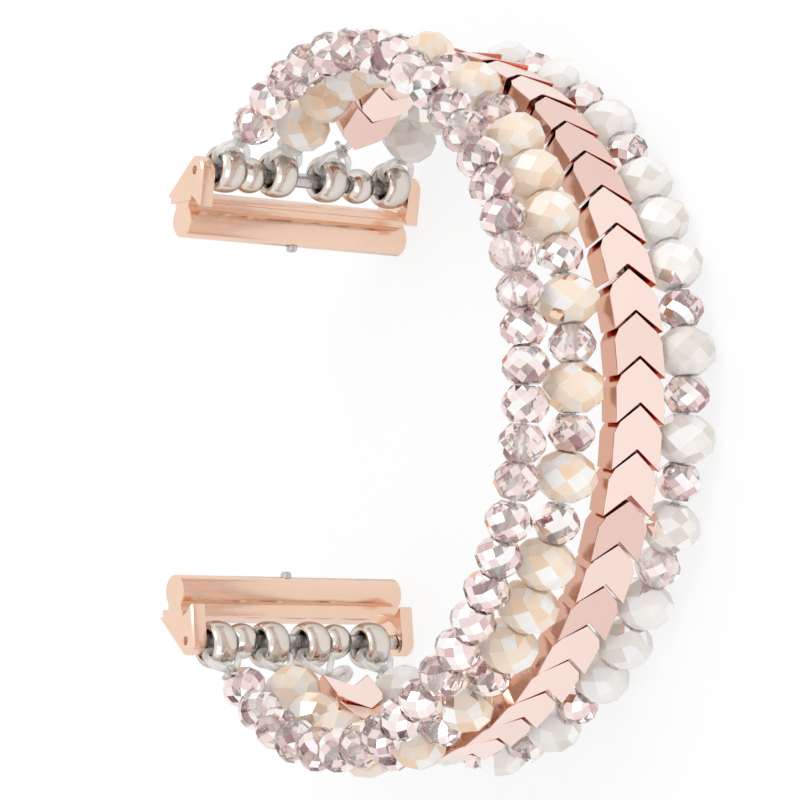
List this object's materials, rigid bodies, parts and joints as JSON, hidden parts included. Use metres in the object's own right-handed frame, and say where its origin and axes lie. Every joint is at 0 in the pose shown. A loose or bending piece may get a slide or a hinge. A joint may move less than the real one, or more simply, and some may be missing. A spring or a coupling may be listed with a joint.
{
  "type": "bead watch band",
  "caption": "Elastic watch band: strands of faceted crystal and chevron beads run between two lug adapters, each with a spring bar that carries ring beads.",
  "frame": {"origin": "centre of the bounding box in X and Y, at the level of the lug adapters' lower faces, on which the band lies", "axes": "+Z runs along the spring bars from the white strand to the mauve strand, +Y from the bottom lug to the top lug, +X from the watch to the far side of the wrist"},
  "size_m": [0.0571, 0.0737, 0.0272],
  "materials": {
    "mauve_crystal": "faceted mauve crystal with a half mirror coat, clear to the bore",
    "champagne_crystal": "faceted peach-cream opal crystal with a pearl coat",
    "white_opal": "faceted milky white opal crystal",
    "rose_gold": "polished rose-gold plating on stone beads",
    "lug_rose_gold": "polished rose-gold plating on steel",
    "silver": "bright silver plating",
    "steel": "plain steel pins, tubes and springs",
    "clear_elastic": "clear elastic cord and clear crimp beads"
  },
  "bodies": {
    "span_top_lug": {"champagne_beads_1": "champagne_crystal", "chevron_beads_1": "rose_gold", "mauve_beads_1": "mauve_crystal", "white_beads_1": "white_opal", "top_ring_beads": "silver", "top_crimp_bead": "clear_elastic"},
    "span_top_near": {"champagne_beads_2": "champagne_crystal", "chevron_beads_2": "rose_gold", "mauve_beads_2": "mauve_crystal", "white_beads_2": "white_opal"},
    "span_top_far": {"champagne_beads_3": "champagne_crystal", "chevron_beads_3": "rose_gold", "mauve_beads_3": "mauve_crystal", "white_beads_3": "white_opal"},
    "span_far": {"champagne_beads_4": "champagne_crystal", "chevron_beads_4": "rose_gold", "mauve_beads_4": "mauve_crystal", "white_beads_4": "white_opal", "elastic_cord_champagne": "clear_elastic", "elastic_cord_chevron": "clear_elastic", "elastic_cord_mauve": "clear_elastic", "elastic_cord_white": "clear_elastic"},
    "span_bottom_far": {"champagne_beads_5": "champagne_crystal", "chevron_beads_5": "rose_gold", "mauve_beads_5": "mauve_crystal", "white_beads_5": "white_opal"},
    "span_bottom_near": {"champagne_beads_6": "champagne_crystal", "chevron_beads_6": "rose_gold", "mauve_beads_6": "mauve_crystal", "white_beads_6": "white_opal"},
    "span_bottom_lug": {"champagne_beads_7": "champagne_crystal", "chevron_beads_7": "rose_gold", "mauve_beads_7": "mauve_crystal", "white_beads_7": "white_opal", "bottom_ring_beads": "silver", "bottom_crimp_bead": "clear_elastic"},
    "top_lug": {"top_adapter": "lug_rose_gold", "top_bar_tube": "steel", "top_bar_spring": "steel", "top_latch_spring": "steel"},
    "top_spacer_ball_1": {"top_spacer_ball_1": "silver"},
    "top_spacer_ball_2": {"top_spacer_ball_2": "silver"},
    "top_bar_tip_upper": {"top_bar_tip_upper": "steel"},
    "top_bar_tip_lower": {"top_bar_tip_lower": "steel"},
    "top_latch_button": {"top_latch_button": "lug_rose_gold"},
    "bottom_lug": {"bottom_adapter": "lug_rose_gold", "bottom_bar_tube": "steel", "bottom_bar_spring": "steel", "bottom_latch_spring": "steel"},
    "bottom_spacer_ball_1": {"bottom_spacer_ball_1": "silver"},
    "bottom_spacer_ball_2": {"bottom_spacer_ball_2": "silver"},
    "bottom_bar_tip_upper": {"bottom_bar_tip_upper": "steel"},
    "bottom_bar_tip_lower": {"bottom_bar_tip_lower": "steel"},
    "bottom_latch_button": {"bottom_latch_button": "lug_rose_gold"}
  },
  "joints": [
    {"name": "strands_top_far", "type": "hinge", "parent": "span_far", "child": "span_top_far", "pos_m": [0.02401, 0.01043, 0.0136], "axis": [0, 0, 1], "range_deg": [-25, 8], "deforming": ["elastic_cord_champagne", "elastic_cord_chevron", "elastic_cord_mauve", "elastic_cord_white"]},
    {"name": "strands_top_middle", "type": "hinge", "parent": "span_top_far", "child": "span_top_near", "pos_m": [0.01214, 0.02758, 0.0136], "axis": [0, 0, 1], "range_deg": [-25, 8], "deforming": ["elastic_cord_champagne", "elastic_cord_chevron", "elastic_cord_mauve", "elastic_cord_white"]},
    {"name": "strands_top_near", "type": "hinge", "parent": "span_top_near", "child": "span_top_lug", "pos_m": [-0.00781, 0.03372, 0.0136], "axis": [0, 0, 1], "range_deg": [-25, 8], "deforming": ["elastic_cord_champagne", "elastic_cord_chevron", "elastic_cord_mauve", "elastic_cord_white"]},
    {"name": "strands_bottom_far", "type": "hinge", "parent": "span_far", "child": "span_bottom_far", "pos_m": [0.02401, -0.01043, 0.0136], "axis": [0, 0, 1], "range_deg": [-8, 25], "deforming": ["elastic_cord_champagne", "elastic_cord_chevron", "elastic_cord_mauve", "elastic_cord_white"]},
    {"name": "strands_bottom_middle", "type": "hinge", "parent": "span_bottom_far", "child": "span_bottom_near", "pos_m": [0.01214, -0.02758, 0.0136], "axis": [0, 0, 1], "range_deg": [-8, 25], "deforming": ["elastic_cord_champagne", "elastic_cord_chevron", "elastic_cord_mauve", "elastic_cord_white"]},
    {"name": "strands_bottom_near", "type": "hinge", "parent": "span_bottom_near", "child": "span_bottom_lug", "pos_m": [-0.00781, -0.03372, 0.0136], "axis": [0, 0, 1], "range_deg": [-8, 25], "deforming": ["elastic_cord_champagne", "elastic_cord_chevron", "elastic_cord_mauve", "elastic_cord_white"]},
    {"name": "top_lug_hinge", "type": "hinge", "parent": "span_top_lug", "child": "top_lug", "pos_m": [-0.0232, 0.0238, 0.0136], "axis": [0, 0, 1], "range_deg": [-50, 30]},
    {"name": "top_spacer_ball_1_spin", "type": "hinge", "parent": "top_lug", "child": "top_spacer_ball_1", "pos_m": [-0.0232, 0.0238, 0.0136], "axis": [0, 0, 1], "continuous": true},
    {"name": "top_spacer_ball_2_spin", "type": "hinge", "parent": "top_lug", "child": "top_spacer_ball_2", "pos_m": [-0.0232, 0.0238, 0.0136], "axis": [0, 0, 1], "continuous": true},
    {"name": "top_bar_tip_upper_slide", "type": "slide", "parent": "top_lug", "child": "top_bar_tip_upper", "axis": [0, 0, -1], "range_m": [0, 0.00125], "stiffness_N_per_m": 500, "springref_m": -0.0015, "deforming": ["top_bar_spring"]},
    {"name": "top_bar_tip_lower_slide", "type": "slide", "parent": "top_lug", "child": "top_bar_tip_lower", "axis": [0, 0, 1], "range_m": [0, 0.00125], "stiffness_N_per_m": 500, "springref_m": -0.0015, "deforming": ["top_bar_spring"]},
    {"name": "top_latch_button_slide", "type": "slide", "parent": "top_lug", "child": "top_latch_button", "axis": [0, 1, 0], "range_m": [0, 0.0005], "stiffness_N_per_m": 400, "springref_m": -0.0008, "deforming": ["top_latch_spring"]},
    {"name": "bottom_lug_hinge", "type": "hinge", "parent": "span_bottom_lug", "child": "bottom_lug", "pos_m": [-0.0232, -0.0238, 0.0136], "axis": [0, 0, 1], "range_deg": [-30, 50]},
    {"name": "bottom_spacer_ball_1_spin", "type": "hinge", "parent": "bottom_lug", "child": "bottom_spacer_ball_1", "pos_m": [-0.0232, -0.0238, 0.0136], "axis": [0, 0, 1], "continuous": true},
    {"name": "bottom_spacer_ball_2_spin", "type": "hinge", "parent": "bottom_lug", "child": "bottom_spacer_ball_2", "pos_m": [-0.0232, -0.0238, 0.0136], "axis": [0, 0, 1], "continuous": true},
    {"name": "bottom_bar_tip_upper_slide", "type": "slide", "parent": "bottom_lug", "child": "bottom_bar_tip_upper", "axis": [0, 0, -1], "range_m": [0, 0.00125], "stiffness_N_per_m": 500, "springref_m": -0.0015, "deforming": ["bottom_bar_spring"]},
    {"name": "bottom_bar_tip_lower_slide", "type": "slide", "parent": "bottom_lug", "child": "bottom_bar_tip_lower", "axis": [0, 0, 1], "range_m": [0, 0.00125], "stiffness_N_per_m": 500, "springref_m": -0.0015, "deforming": ["bottom_bar_spring"]},
    {"name": "bottom_latch_button_slide", "type": "slide", "parent": "bottom_lug", "child": "bottom_latch_button", "axis": [0, -1, 0], "range_m": [0, 0.0005], "stiffness_N_per_m": 400, "springref_m": -0.0008, "deforming": ["bottom_latch_spring"]}
  ]
}
